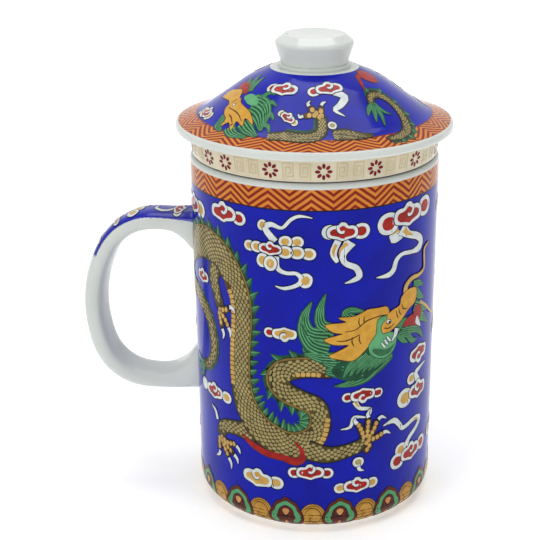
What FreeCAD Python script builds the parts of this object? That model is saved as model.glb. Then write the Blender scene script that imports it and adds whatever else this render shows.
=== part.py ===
import FreeCAD, Part
import math
import os

from FreeCAD import Vector

# Straight porcelain tea mug with a looped handle, a drop-in infuser cup whose collar
# stands on the mug's rim, and a flared lid with a knob.
# Units are millimetres. The mug's axis is Z, the table is z = 0 and the handle points to -X.

# Mug
mug_height = 112.0
rim_radius = 38.0
base_radius = 37.15
mug_wall = 3.3
mug_floor = 4.4
bottom_curve = 5.7
inside_curve = 6.0
rim_round = 1.3
rim_inner_bevel = 0.7
foot_height = 0.6
foot_radius = 30.8
foot_width = 2.8
foot_draft = 0.4
recess_depth = 1.9
recess_crown = 0.5

# Handle, a strap swept round a centre line of two arms, two corners and a belly
handle_top = 87.8
handle_bottom = 33.5
handle_reach = 71.5
handle_belly_height = 58.0
handle_belly_radius = 42.0
handle_upper_corner = 18.0
handle_lower_corner = 16.0
strap_thickness = 6.4
strap_width = 12.4
strap_squareness = 2.8
strap_section_points = 12
flare_stops = (0.3, 0.65, 1)
upper_corner_steps = 5
lower_corner_steps = 4
belly_steps = 6
root_sink = 2.0
upper_root_length = 9.0
upper_root_flare = 6.5
upper_root_swell = 0.8
lower_root_length = 12.5
lower_root_flare = 9.4
lower_root_swell = -0.6
root_flare_side = 1.4

# Infuser
infuser_depth = 66.0
infuser_bottom_radius = 29.8
infuser_wall = 2.6
infuser_floor = 2.8
infuser_bottom_curve = 5.0
infuser_clearance = 0.8
collar_height = 7.6
collar_top_radius = 38.3
collar_foot_radius = 37.3
collar_wall = 3.6
collar_bevel = 0.5

# Strainer holes
hole_diameter = 3.4
floor_hole_pitch = 8.6
floor_hole_rings = 2
holes_in_first_ring = 6
wall_hole_rows = 2
wall_holes_in_row = 12
wall_hole_rise = 8.0
wall_hole_start = 9.5

# Lid
lid_radius = 42.1
lip_height = 2.2
lip_lower_round = 0.7
lip_upper_round = 1.0
brim_width = 7.7
brim_rise = 2.7
brim_sweep = 14.0
slope_rise = 9.9
shoulder_radius = 20.4
shoulder_sweep = 26.0
knob_seat_radius = 13.4
knob_seat_rise = 3.3
crown_rise = 0.6
lid_wall = 3.0
lid_clearance = 0.7
locating_ring_depth = 4.4
locating_ring_wall = 2.8
locating_ring_taper = 0.5
locating_ring_room = 1.0

# Knob
knob_height = 9.9
knob_foot_radius = 10.9
knob_foot_height = 1.1
knob_neck_radius = 10.1
knob_neck_height = 1.3
knob_rim_radius = 12.1
knob_rim_drop = 2.2
knob_rim_round = 1.4
knob_dish_radius = 9.2
knob_dish_depth = 0.5
knob_root = 3.0

AXIS = Vector(0, 0, 1)
ORIGIN = Vector(0, 0, 0)
SHARED_SIDE = 0.49
FREE_SIDE = 0.98


# Heights and radii where pieces meet
inner_radius = rim_radius - mug_wall
inner_base_radius = base_radius - mug_wall
lid_seat = mug_height + collar_height
collar_inner_radius = collar_top_radius - collar_wall
cup_radius = inner_radius - infuser_clearance
cup_bore = cup_radius - infuser_wall
locating_ring_radius = collar_inner_radius - lid_clearance
brim_height = lid_seat + lip_height + brim_rise
brim_inner_radius = lid_radius - brim_width
shoulder_height = brim_height + slope_rise
knob_seat = shoulder_height + knob_seat_rise
crown = knob_seat + crown_rise


def outline(corners):
    """Closed wire in the XZ plane through (x, z, radius) corners, each rounded by its radius."""
    points = [Vector(x, 0, z) for x, z, _ in corners]
    stretches = []
    for i, (_, _, radius) in enumerate(corners):
        here = points[i]
        after = (i + 1) % len(points)
        back = points[i - 1] - here
        ahead = points[after] - here
        half = back.getAngle(ahead) / 2
        limit = min(
            back.Length * (SHARED_SIDE if corners[i - 1][2] else FREE_SIDE),
            ahead.Length * (SHARED_SIDE if corners[after][2] else FREE_SIDE),
        )
        reach = min(radius / math.tan(half), limit) if radius else 0
        back.normalize()
        ahead.normalize()
        if reach > 0:
            rounded = reach * math.tan(half)
            inward = (back + ahead).normalize()
            middle = here + inward * (rounded / math.sin(half) - rounded)
            stretches.append((here + back * reach, middle, here + ahead * reach))
        else:
            stretches.append((here, None, here))
    edges = []
    for i, (arrive, middle, leave) in enumerate(stretches):
        if middle:
            edges.append(Part.Arc(arrive, middle, leave).toShape())
        edges.append(Part.LineSegment(leave, stretches[(i + 1) % len(stretches)][0]).toShape())
    return Part.Wire(edges)


def turned(corners):
    """Solid of revolution about the mug's axis."""
    return Part.Face(outline(corners)).revolve(ORIGIN, AXIS, 360)


def mug_outside():
    """Corners of the mug's outer face, from the rim's inner edge down to the foot ring."""
    foot_inner = foot_radius - foot_width
    return [
        (rim_radius, mug_height, rim_round),
        (base_radius, foot_height, bottom_curve),
        (foot_radius, foot_height, 0),
        (foot_radius - foot_draft, 0, 0),
        (foot_inner + foot_draft, 0, 0),
        (foot_inner, recess_depth, 0),
        (0, recess_depth + recess_crown, 0),
    ]


def mug_body():
    """The cup with its rounded rim, its curved bottom edge and its recessed base."""
    inside = [
        (0, mug_floor, 0),
        (inner_base_radius, mug_floor, inside_curve),
        (inner_radius, mug_height - rim_inner_bevel, 0),
        (inner_radius + rim_inner_bevel, mug_height, 0),
    ]
    return turned(mug_outside() + inside)


def arc_stations(centre, radius, start, end, count):
    """Points and directions on a centre-line arc, at even angles, without its first point."""
    stations = []
    for i in range(1, count + 1):
        angle = start + (end - start) * i / count
        out = Vector(-math.cos(angle), 0, math.sin(angle))
        stations.append((centre + out * radius, out))
    return stations


def handle_stations():
    """Centre points of the strap's sections with their outward directions, from top to bottom."""
    belly = Vector(-(handle_reach - handle_belly_radius), 0, handle_belly_height)
    top_arm = Vector(0, 0, 1)
    bottom_arm = Vector(0, 0, -1)

    def corner(radius, level):
        rise = level - handle_belly_height
        span = math.sqrt((handle_belly_radius - radius) ** 2 - rise ** 2)
        return Vector(belly.x - span, 0, level), math.atan2(rise, span)

    upper, upper_turn = corner(handle_upper_corner, handle_top - handle_upper_corner)
    lower, lower_turn = corner(handle_lower_corner, handle_bottom + handle_lower_corner)

    root = -math.sqrt(rim_radius ** 2 - (strap_width / 2) ** 2)

    def arm_stops(length):
        return [root + root_sink, root] + [root - length * share for share in flare_stops]

    stations = [(Vector(x, 0, handle_top), top_arm) for x in arm_stops(upper_root_length)]
    stations.append((Vector(upper.x, 0, handle_top), top_arm))
    stations += arc_stations(upper, handle_upper_corner, math.pi / 2, upper_turn, upper_corner_steps)
    stations += arc_stations(belly, handle_belly_radius, upper_turn, lower_turn, belly_steps)
    stations += arc_stations(lower, handle_lower_corner, lower_turn, -math.pi / 2, lower_corner_steps)
    lower_stops = reversed(arm_stops(lower_root_length))
    return stations + [(Vector(x, 0, handle_bottom), bottom_arm) for x in lower_stops]


def strap_section(centre, out):
    """Rounded section of the strap. Near the mug's wall it grows, most of all inwards."""
    length, flare, swell = lower_root_length, lower_root_flare, lower_root_swell
    if centre.z > handle_belly_height:
        length, flare, swell = upper_root_length, upper_root_flare, upper_root_swell
    distance = max(0, -centre.x - rim_radius)
    closeness = max(0, 1 - distance / length) ** 2
    inner = strap_thickness / 2 + flare * closeness
    outer = strap_thickness / 2 + swell * closeness
    side = strap_width / 2 + root_flare_side * closeness
    middle = centre + out * ((outer - inner) / 2)
    half = (outer + inner) / 2
    across = Vector(0, 1, 0)
    points = []
    for i in range(strap_section_points):
        angle = 2 * math.pi * i / strap_section_points
        u = math.copysign(abs(math.cos(angle)) ** (2 / strap_squareness), math.cos(angle))
        v = math.copysign(abs(math.sin(angle)) ** (2 / strap_squareness), math.sin(angle))
        points.append(middle + out * (u * half) + across * (v * side))
    curve = Part.BSplineCurve()
    curve.interpolate(Points=points, PeriodicFlag=True)
    return Part.Wire(curve.toShape())


def mug_handle():
    """The looped strap, with its two ends cut to the mug's outer face."""
    sections = [strap_section(centre, out) for centre, out in handle_stations()]
    strap = Part.makeLoft(sections, True, False)
    return strap.cut(turned(mug_outside() + [(0, mug_height, 0)]))


def strainer_holes():
    """Round holes in rings through the infuser's floor, and in staggered rows through its wall."""
    radius = hole_diameter / 2
    bottom = mug_height - infuser_depth
    through = infuser_floor + hole_diameter
    holes = [Part.makeCylinder(radius, through, Vector(0, 0, bottom - radius))]
    for ring in range(1, floor_hole_rings + 1):
        count = holes_in_first_ring * ring
        for i in range(count):
            angle = 2 * math.pi * i / count
            place = Vector(math.cos(angle), math.sin(angle), 0) * (floor_hole_pitch * ring)
            place.z = bottom - radius
            holes.append(Part.makeCylinder(radius, through, place))
    for row in range(wall_hole_rows):
        for i in range(wall_holes_in_row):
            angle = 2 * math.pi * (i + (row % 2) / 2) / wall_holes_in_row
            out = Vector(math.cos(angle), math.sin(angle), 0)
            start = out * (infuser_bottom_radius / 2)
            start.z = bottom + wall_hole_start + wall_hole_rise * row
            holes.append(Part.makeCylinder(radius, cup_radius, start, out))
    return holes


def infuser_cup():
    """The strainer cup. Its collar stands on the mug's rim and takes the lid's locating ring."""
    bottom = mug_height - infuser_depth
    recess = lid_seat - locating_ring_depth - locating_ring_room
    cup = turned([
        (0, bottom, 0),
        (infuser_bottom_radius, bottom, infuser_bottom_curve),
        (cup_radius, mug_height, 0),
        (collar_foot_radius - collar_bevel, mug_height, 0),
        (collar_foot_radius, mug_height + collar_bevel, 0),
        (collar_top_radius, lid_seat - collar_bevel, 0),
        (collar_top_radius - collar_bevel, lid_seat, 0),
        (collar_inner_radius, lid_seat, 0),
        (collar_inner_radius, recess, 0),
        (cup_bore, mug_height - infuser_wall, 0),
        (infuser_bottom_radius - infuser_wall, bottom + infuser_floor, 0),
        (0, bottom + infuser_floor, 0),
    ])
    return cup.cut(Part.makeCompound(strainer_holes()))


def lid_outside():
    """Corners of the lid's outer face, from the lip's lower edge up to the crown."""
    return [
        (lid_radius, lid_seat, lip_lower_round),
        (lid_radius, lid_seat + lip_height, lip_upper_round),
        (brim_inner_radius, brim_height, brim_sweep),
        (shoulder_radius, shoulder_height, shoulder_sweep),
        (knob_seat_radius, knob_seat, 0),
        (0, crown, 0),
    ]


def lid_shell():
    """The flared cover with its thick lip, hollow below, and its locating ring."""
    ring_inner = locating_ring_radius - locating_ring_wall
    ring_foot = lid_seat - locating_ring_depth
    inside = [
        (0, crown - lid_wall, 0),
        (knob_seat_radius, knob_seat - lid_wall, 0),
        (shoulder_radius, shoulder_height - lid_wall, shoulder_sweep),
        (ring_inner, brim_height - lid_wall, 0),
        (ring_inner + locating_ring_taper, ring_foot, 0),
        (locating_ring_radius - locating_ring_taper, ring_foot, 0),
        (locating_ring_radius, lid_seat, 0),
    ]
    return turned(lid_outside() + inside)


def lid_knob():
    """The flared knob with its dished top, seated on the lid's crown."""
    top = knob_seat + knob_height
    knob = turned([
        (0, knob_seat - knob_root, 0),
        (knob_foot_radius, knob_seat - knob_root, 0),
        (knob_foot_radius, knob_seat + knob_foot_height, 0),
        (knob_neck_radius, knob_seat + knob_neck_height, 0),
        (knob_rim_radius, top - knob_rim_drop, knob_rim_round),
        (knob_dish_radius, top, 0),
        (0, top - knob_dish_depth, 0),
    ])
    return knob.cut(turned(lid_outside() + [(0, lid_seat, 0)]))


PIECES = {
    "mug_body": mug_body,
    "mug_handle": mug_handle,
    "infuser_cup": infuser_cup,
    "lid_shell": lid_shell,
    "lid_knob": lid_knob,
}

os.makedirs("parts", exist_ok=True)
for name, make in PIECES.items():
    make().exportStep(f"parts/{name}.step")
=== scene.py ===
"""Looks of a lidded porcelain tea mug with an infuser, painted with a dragon among clouds.

The CAD pieces keep their shapes and get glazes. The painted figures are thin enamel pieces,
drawn as outlines in millimetres and draped over the CAD surfaces.
On the mug u runs round the wall from the middle of the painted front and v is the height.
On the lid the two coordinates are seen from above, with the front below the axis.
"""

import math

import bpy
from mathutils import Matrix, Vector, geometry
from mathutils.bvhtree import BVHTree


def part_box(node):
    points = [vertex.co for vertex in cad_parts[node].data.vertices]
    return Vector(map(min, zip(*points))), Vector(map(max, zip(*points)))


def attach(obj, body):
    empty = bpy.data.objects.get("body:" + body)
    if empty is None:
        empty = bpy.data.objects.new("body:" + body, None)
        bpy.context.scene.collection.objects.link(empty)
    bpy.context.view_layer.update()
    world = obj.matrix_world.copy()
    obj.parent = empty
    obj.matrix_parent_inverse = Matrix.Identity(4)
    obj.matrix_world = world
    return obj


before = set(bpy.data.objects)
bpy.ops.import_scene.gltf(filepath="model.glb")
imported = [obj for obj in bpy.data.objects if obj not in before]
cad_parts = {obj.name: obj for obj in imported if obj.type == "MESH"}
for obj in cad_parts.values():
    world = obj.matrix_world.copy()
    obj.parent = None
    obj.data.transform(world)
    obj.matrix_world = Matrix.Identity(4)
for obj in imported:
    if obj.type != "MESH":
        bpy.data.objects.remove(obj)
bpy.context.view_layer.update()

MM = 0.001

# Painted zones, in millimetres
FRONT = math.radians(-82)
RIM_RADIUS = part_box("mug_body")[1].x / MM
MUG_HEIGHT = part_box("mug_body")[1].z / MM
LID_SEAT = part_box("infuser_cup")[1].z / MM
BORDER_GROUND = 4.4
BAND_FOOT = 104.2
BAND_TOP = 110.3
BAND_ZIGZAGS = 19
BAND_SLOPE = 0.74
BAND_PITCH = 2.05
BAND_START = 0.57
BAND_LINE = 0.3
BRIM_INNER = 35.7
BRIM_OUTER = 41.2
BRIM_ZIGZAGS = 18
BRIM_SLOPE = 0.62
BRIM_PITCH = 1.6
BRIM_START = 0.62
BRIM_RADIUS = 38.0
STRIPE_LOW = 0.03
STRIPE_HIGH = 0.53
STRIPE_EDGE = 0.07
STRIPE_WOBBLE = 0.35
KNOB_RING = 13.4
SEAT_BEVEL = 0.45
SEAT_WIDTH = 3.0
GLAZE_EDGE = 0.12
FOOT_CONTACT = 0.06
FOOT_GLAZE = (0.75, 1.05)
COLLAR_FOOT = 0.5
COLLAR_TOP = 0.9
COLLAR_SOFT = 0.25
COLLAR_DEPTH = 1.2
KNOB_PIT = (-8.0, -2.0)
KNOB_PIT_AREA = (0.1, 0.35)
KNOB_PIT_DARK = 0.85
HANDLE_CENTRE = (-38.0, 62.0)
HANDLE_BLUE_FOOT = 76.5
HANDLE_BLUE_FADE = 1.5
HANDLE_FACE = (0.40, 0.48)
HANDLE_CORNER = (-54.0, 67.0)
HANDLE_ARC = 23.0
HANDLE_ROOT = 16.0

# Layers of enamel over the glaze
FIRST_LAYER = 0.05
LAYER = 0.012
ENAMEL_ROUGH = 0.16
ENAMEL_RIPPLE = 0.012
DRAPE_GRID = 1.2
BEND_GRID = 0.45
REACH = 60.0


# Colours and nodes

def colour(red, green, blue):
    """Linear colour from 8-bit display values."""
    def linear(value):
        value /= 255
        return value / 12.92 if value <= 0.04045 else ((value + 0.055) / 1.055) ** 2.4
    return linear(red), linear(green), linear(blue), 1.0


COBALT = colour(3, 20, 170)
COBALT_DEEP = colour(2, 13, 148)
PORCELAIN = colour(221, 225, 220)
PORCELAIN_SHADE = colour(208, 213, 209)
IVORY = colour(216, 206, 180)
IVORY_SHADE = colour(202, 190, 160)
OCHRE = colour(222, 142, 56)
OCHRE_SHADE = colour(208, 120, 40)
RUST = colour(146, 34, 10)
RUST_SHADE = colour(120, 24, 8)
BISCUIT = colour(206, 196, 178)
# Painted shadow for the gap under the infuser's collar
PAINTED_GAP_SHADOW = colour(74, 62, 48)
BLACK = colour(14, 14, 20)
PIT_BROWN = colour(96, 84, 70)
PAPER = colour(246, 246, 246)
PAPER_SHADE = colour(243, 243, 243)
WHITE = (1, 1, 1, 1)


# Glaze surface, with sizes in millimetres
PIT_SIZE = 0.55
PIT_RANGE = (0.86, 0.9)
PIT_TINT = 0.35
PATCH_SIZE = 14.0
PATCH_RANGE = (0.35, 0.75)
PATCH_ROUGH = 0.09
RIPPLE_SIZE = 7.0
GRAIN_SIZE = 0.9
GRAIN_SHARE = 0.12
BUMP_STRENGTH = 0.35
GLASS_INDEX = 1.5
COAT_ROUGH = 0.05
CLOUDY = (0.3, 0.75)


class Nodes:
    """Short forms for the nodes of one material."""

    def __init__(self, name):
        self.material = bpy.data.materials.new(name)
        self.material.use_nodes = True
        self.tree = self.material.node_tree
        self.shader = self.tree.nodes["Principled BSDF"]
        self.place = self.add("ShaderNodeTexCoord").outputs["Object"]

    def add(self, kind, **values):
        node = self.tree.nodes.new(kind)
        for key, value in values.items():
            setattr(node, key, value)
        return node

    def feed(self, socket, value):
        if isinstance(value, bpy.types.NodeSocket):
            self.tree.links.new(value, socket)
        else:
            socket.default_value = value

    def math(self, operation, *values):
        node = self.add("ShaderNodeMath", operation=operation)
        for socket, value in zip(node.inputs, values):
            self.feed(socket, value)
        return node.outputs[0]

    def products(self, a, b, c, d):
        """a times b plus c times d."""
        return self.math("ADD", self.math("MULTIPLY", a, b), self.math("MULTIPLY", c, d))

    def uneven(self, size, reach):
        """Noise that lies evenly round zero."""
        return self.math("MULTIPLY", self.math("SUBTRACT", self.noise(size), 0.5), reach)

    def mix(self, share, first, second):
        node = self.add("ShaderNodeMix", data_type="RGBA")
        self.feed(node.inputs["Factor"], share)
        self.feed(node.inputs["A"], first)
        self.feed(node.inputs["B"], second)
        return node.outputs["Result"]

    def noise(self, size, detail=2.0):
        """Noise whose blotches measure about size millimetres."""
        node = self.add("ShaderNodeTexNoise")
        self.feed(node.inputs["Vector"], self.place)
        node.inputs["Scale"].default_value = 1 / (size * MM)
        node.inputs["Detail"].default_value = detail
        return node.outputs["Fac"]

    def ramp(self, value, low, high, first=0.0, last=1.0):
        """Value taken smoothly from first at low to last at high."""
        node = self.add("ShaderNodeMapRange", interpolation_type="SMOOTHSTEP")
        for socket, number in zip(node.inputs, (value, low, high, first, last)):
            self.feed(socket, number)
        return node.outputs["Result"]

    def between(self, value, low, high, soft=GLAZE_EDGE):
        """1 where value lies between low and high."""
        rising = self.ramp(value, low - soft, low + soft)
        falling = self.ramp(value, high - soft, high + soft, 1.0, 0.0)
        return self.math("MULTIPLY", rising, falling)

    def axes(self):
        """Object coordinates in millimetres."""
        split = self.add("ShaderNodeSeparateXYZ")
        self.feed(split.inputs[0], self.place)
        return [self.math("MULTIPLY", out, 1 / MM) for out in split.outputs]

    def radius(self, x, y):
        """Distance from the mug's axis."""
        return self.math("SQRT", self.products(x, x, y, y))

    def angle(self, x, y):
        """Angle round the mug's axis, from the middle of the painted front."""
        return self.math("SUBTRACT", self.math("ARCTAN2", y, x), FRONT)

    def normal(self):
        """Parts of the surface's direction."""
        split = self.add("ShaderNodeSeparateXYZ")
        self.feed(split.inputs[0], self.add("ShaderNodeNewGeometry").outputs["True Normal"])
        return split.outputs

    def zigzag(self, angle, height, count, slope, pitch, radius, shift):
        """Share of dark stripe in a band of nested chevrons."""
        turns = self.math("MULTIPLY", angle, count / math.tau)
        turns = self.math("FRACT", self.math("ADD", turns, shift))
        fold = self.math("ABSOLUTE", self.math("SUBTRACT", turns, 0.5))
        rise = self.math("MULTIPLY", fold, slope * math.tau * radius / count)
        level = self.math("ADD", self.math("ADD", height, rise), self.uneven(3.0, STRIPE_WOBBLE))
        stripe = self.math("FRACT", self.math("DIVIDE", level, pitch))
        return self.between(stripe, STRIPE_LOW, STRIPE_HIGH, STRIPE_EDGE)

    def chevrons(self, angle, height, count, slope, pitch, radius, shift):
        """Rust stripes on ochre."""
        stripe = self.zigzag(angle, height, count, slope, pitch, radius, shift)
        ground = self.mix(self.noise(9.0), OCHRE, OCHRE_SHADE)
        dark = self.mix(self.noise(6.0), RUST, RUST_SHADE)
        return self.mix(stripe, ground, dark)

    def finish(self, paint, rough=0.09, gloss=0.14, depth=0.025, worn=None):
        """Joins the paint to the shader, with glaze ripple, tiny pits and handled patches."""
        shader = self.shader.inputs
        pits = self.ramp(self.noise(PIT_SIZE, 0.0), *PIT_RANGE)
        paint = self.mix(self.math("MULTIPLY", pits, PIT_TINT), paint, PIT_BROWN)
        self.feed(shader["Base Color"], paint)
        patch = self.ramp(self.noise(PATCH_SIZE, 3.0), *PATCH_RANGE, rough, rough + PATCH_ROUGH)
        if worn is not None:
            patch = self.math("MAXIMUM", patch, worn)
        self.feed(shader["Roughness"], patch)
        shader["Specular IOR Level"].default_value = gloss
        shader["IOR"].default_value = GLASS_INDEX
        shader["Coat Roughness"].default_value = COAT_ROUGH
        bump = self.add("ShaderNodeBump")
        bump.inputs["Strength"].default_value = BUMP_STRENGTH
        bump.inputs["Distance"].default_value = depth * MM
        grain = self.math("MULTIPLY", self.noise(GRAIN_SIZE), GRAIN_SHARE)
        ripple = self.math("ADD", self.noise(RIPPLE_SIZE), grain)
        self.feed(bump.inputs["Height"], self.math("SUBTRACT", ripple, pits))
        self.feed(shader["Normal"], bump.outputs["Normal"])
        return self.material


def cobalt(nodes):
    return nodes.mix(nodes.ramp(nodes.noise(11.0, 3.0), *CLOUDY), COBALT, COBALT_DEEP)


def porcelain(nodes):
    return nodes.mix(nodes.noise(16.0, 3.0), PORCELAIN, PORCELAIN_SHADE)


def mug_glaze():
    """Cobalt wall, chevron band below a white rim, white inside and an unglazed foot."""
    nodes = Nodes("mug_glaze_painted")
    x, y, z = nodes.axes()
    facing = nodes.normal()
    outward = nodes.products(facing[0], x, facing[1], y)
    outside = nodes.math("GREATER_THAN", outward, 1.0)
    clear_of_foot = nodes.ramp(z, *FOOT_GLAZE)
    wall = nodes.math("MULTIPLY", outside, clear_of_foot)
    angle = nodes.angle(x, y)
    band = nodes.chevrons(angle, z, BAND_ZIGZAGS, BAND_SLOPE, BAND_PITCH, RIM_RADIUS, BAND_START)
    paint = nodes.mix(nodes.ramp(z, BAND_FOOT - GLAZE_EDGE, BAND_FOOT + GLAZE_EDGE), cobalt(nodes), band)
    foot = nodes.mix(nodes.noise(5.0), *(colour(*tone) for tone in PAINTS["ochre"]))
    paint = nodes.mix(nodes.ramp(z, BORDER_GROUND - 0.1, BORDER_GROUND + 0.1), foot, paint)
    line = nodes.between(z, BAND_FOOT - BAND_LINE, BAND_FOOT + GLAZE_EDGE)
    paint = nodes.mix(line, paint, BLACK)
    painted = nodes.math("MULTIPLY", wall, nodes.ramp(z, BAND_TOP - 0.15, BAND_TOP + 0.25, 1.0, 0.0))
    paint = nodes.mix(painted, porcelain(nodes), paint)
    bare = nodes.ramp(z, FOOT_CONTACT, FOOT_CONTACT + 0.1, 1.0, 0.0)
    paint = nodes.mix(bare, paint, BISCUIT)
    return nodes.finish(paint, worn=nodes.math("MULTIPLY", bare, 0.75))


def handle_glaze():
    """White porcelain with a cobalt face along the top of the loop."""
    nodes = Nodes("handle_glaze_painted")
    x, _, z = nodes.axes()
    facing = nodes.normal()
    across = nodes.math("SUBTRACT", x, HANDLE_CENTRE[0])
    above = nodes.math("SUBTRACT", z, HANDLE_CENTRE[1])
    away = nodes.products(facing[0], across, facing[2], above)
    length = nodes.math("SQRT", nodes.products(across, across, above, above))
    edge = nodes.math("ADD", nodes.math("DIVIDE", away, length), nodes.uneven(4.0, 0.06))
    face = nodes.ramp(edge, *HANDLE_FACE)
    blue = nodes.math("MULTIPLY", face, nodes.ramp(z, HANDLE_BLUE_FOOT - HANDLE_BLUE_FADE, HANDLE_BLUE_FOOT))
    return nodes.finish(nodes.mix(blue, porcelain(nodes), cobalt(nodes)), gloss=0.3)


def infuser_glaze():
    """White porcelain whose collar is painted ivory between two white edges, with a painted shadow on the
    bevel where it stands on the mug's rim.
    """
    nodes = Nodes("infuser_glaze_painted")
    x, y, z = nodes.axes()
    radius = nodes.radius(x, y)
    collar = nodes.between(z, MUG_HEIGHT + COLLAR_FOOT, LID_SEAT - COLLAR_TOP, COLLAR_SOFT)
    collar = nodes.math("MULTIPLY", collar, nodes.math("GREATER_THAN", radius, RIM_RADIUS - COLLAR_DEPTH))
    ivory = nodes.mix(nodes.ramp(nodes.noise(8.0, 3.0), *CLOUDY), IVORY, IVORY_SHADE)
    paint = nodes.mix(collar, porcelain(nodes), ivory)
    # Painted shadow: the collar's foot bevel, where it stands on the mug's rim, is darkened to stand in for
    # the shade in the gap between the two parts. It is also made rougher.
    seat_shadow = nodes.between(z, MUG_HEIGHT - 0.1, MUG_HEIGHT + SEAT_BEVEL, 0.05)
    seat_shadow = nodes.math("MULTIPLY", seat_shadow, nodes.math("GREATER_THAN", radius, RIM_RADIUS - SEAT_WIDTH))
    worn = nodes.math("MULTIPLY", seat_shadow, 0.6)
    return nodes.finish(nodes.mix(seat_shadow, paint, PAINTED_GAP_SHADOW), gloss=0.4, worn=worn)


def lid_glaze():
    """Cobalt slope, chevron brim, white lip, white ring at the knob and a white underside."""
    nodes = Nodes("lid_glaze_painted")
    x, y, _ = nodes.axes()
    radius = nodes.radius(x, y)
    upward = nodes.ramp(nodes.normal()[2], 0.25, 0.45)
    angle = nodes.angle(x, y)
    brim = nodes.chevrons(angle, radius, BRIM_ZIGZAGS, -BRIM_SLOPE, BRIM_PITCH, BRIM_RADIUS, BRIM_START)
    paint = nodes.mix(nodes.ramp(radius, BRIM_INNER - 0.1, BRIM_INNER + 0.1), cobalt(nodes), brim)
    paint = nodes.mix(nodes.between(radius, BRIM_INNER - 0.25, BRIM_INNER + 0.1), paint, RUST_SHADE)
    painted = nodes.between(radius, KNOB_RING, BRIM_OUTER, 0.2)
    painted = nodes.math("MULTIPLY", painted, upward)
    return nodes.finish(nodes.mix(painted, porcelain(nodes), paint))


def knob_glaze():
    """White porcelain with one dark pit near the edge of its top."""
    nodes = Nodes("knob_glaze_white")
    x, y, _ = nodes.axes()
    across = nodes.math("SUBTRACT", x, KNOB_PIT[0])
    along = nodes.math("SUBTRACT", y, KNOB_PIT[1])
    gap = nodes.products(across, across, along, along)
    near = nodes.ramp(gap, *KNOB_PIT_AREA, KNOB_PIT_DARK, 0.0)
    dark = nodes.math("MULTIPLY", near, nodes.ramp(nodes.normal()[2], 0.5, 0.8))
    return nodes.finish(nodes.mix(dark, porcelain(nodes), BLACK), gloss=0.5)


def enamel(name, light, dark):
    """Fired enamel of one colour, a little uneven."""
    nodes = Nodes(name)
    paint = nodes.mix(nodes.ramp(nodes.noise(2.6, 2.0), *CLOUDY), colour(*light), colour(*dark))
    return nodes.finish(paint, rough=ENAMEL_ROUGH, depth=ENAMEL_RIPPLE)


# Light and dark tone of each enamel
PAINTS = {
    "black": ((18, 17, 24), (10, 10, 16)),
    "white": ((222, 228, 228), (204, 212, 214)),
    "red": ((170, 36, 26), (142, 24, 20)),
    "yellow": ((208, 168, 88), (192, 148, 68)),
    "cream": ((174, 158, 104), (148, 133, 86)),
    "olive": ((84, 74, 34), (60, 54, 26)),
    "tan": ((140, 114, 58), (118, 94, 46)),
    "scute": ((204, 170, 98), (186, 148, 76)),
    "gold": ((218, 166, 64), (202, 146, 52)),
    "umber": ((92, 56, 16), (72, 42, 12)),
    "green": ((58, 116, 78), (43, 95, 63)),
    "pine": ((28, 82, 54), (18, 62, 44)),
    "mint": ((100, 174, 120), (84, 154, 102)),
    "jade": ((88, 166, 112), (76, 148, 100)),
    "maroon": ((98, 40, 26), (80, 30, 22)),
    "peach": ((216, 158, 100), (200, 138, 84)),
    "ochre": ((200, 154, 68), (184, 134, 54)),
    "bronze": ((142, 98, 30), (124, 82, 24)),
    "crimson": ((128, 26, 38), (106, 18, 30)),
    "fret": ((206, 190, 152), (196, 178, 138)),
}


# Drawing

def curve(points, closed=False, steps=4):
    """Smooth line through the given points."""
    points = [Vector(point) for point in points]
    count = len(points)
    line = []
    for i in range(count if closed else count - 1):
        near = ((i + k) % count if closed else min(max(i + k, 0), count - 1) for k in (-1, 0, 1, 2))
        a, b, c, d = (points[k] for k in near)
        for step in range(steps):
            t = step / steps
            bend = (2 * a - 5 * b + 4 * c - d) * t ** 2
            twist = (3 * b - 3 * c + d - a) * t ** 3
            line.append(0.5 * (2 * b + (c - a) * t + bend + twist))
    if not closed:
        line.append(points[-1])
    return line


def blob(points, steps=4):
    """Smooth closed outline."""
    return curve(points, True, steps)


def left_of(ahead):
    """The direction turned left by a quarter."""
    return Vector((-ahead.y, ahead.x))


def width_at(widths, spot):
    """Width at a place between two of the given ones."""
    k = min(int(spot), len(widths) - 2)
    return widths[k] + (widths[k + 1] - widths[k]) * (spot - k)


def sides(line, widths, grow=0.0):
    """Left and right edges of a stroke whose half widths follow the line."""
    left, right = [], []
    last = len(line) - 1
    for i, point in enumerate(line):
        across = left_of((line[min(i + 1, last)] - line[max(i - 1, 0)]).normalized())
        width = width_at(widths, i / last * (len(widths) - 1)) + grow
        left.append(point + across * width)
        right.append(point - across * width)
    return left, right


def stroke(points, widths, grow=0.0, steps=4):
    """Outline of a brush stroke along a smooth line."""
    line = curve(points, False, steps)
    if grow:
        line[0] = line[0] + (line[0] - line[1]).normalized() * grow
        line[-1] = line[-1] + (line[-1] - line[-2]).normalized() * grow
    left, right = sides(line, widths, grow)
    return left + right[::-1]


def doubled_area(outline):
    """Twice the area inside an outline, below zero where it runs clockwise."""
    return sum(a.x * b.y - b.x * a.y for a, b in zip(outline[-1:] + outline, outline))


def spread(outline, grow):
    """The outline moved outwards by grow."""
    count = len(outline)
    sign = 1 if doubled_area(outline) > 0 else -1
    grown = []
    for i in range(count):
        ahead = outline[(i + 1) % count] - outline[i - 1]
        if ahead.length < 1e-9:
            grown.append(outline[i])
            continue
        ahead.normalize()
        grown.append(outline[i] + Vector((ahead.y, -ahead.x)) * sign * grow)
    return grown


def moved(outline, centre, size=1.0, turn=0.0, mirror=1):
    """The outline scaled, turned and placed."""
    c, s = math.cos(turn) * size, math.sin(turn) * size
    return [Vector((centre[0] + c * x * mirror - s * y, centre[1] + s * x * mirror + c * y))
        for x, y in outline]


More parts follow.
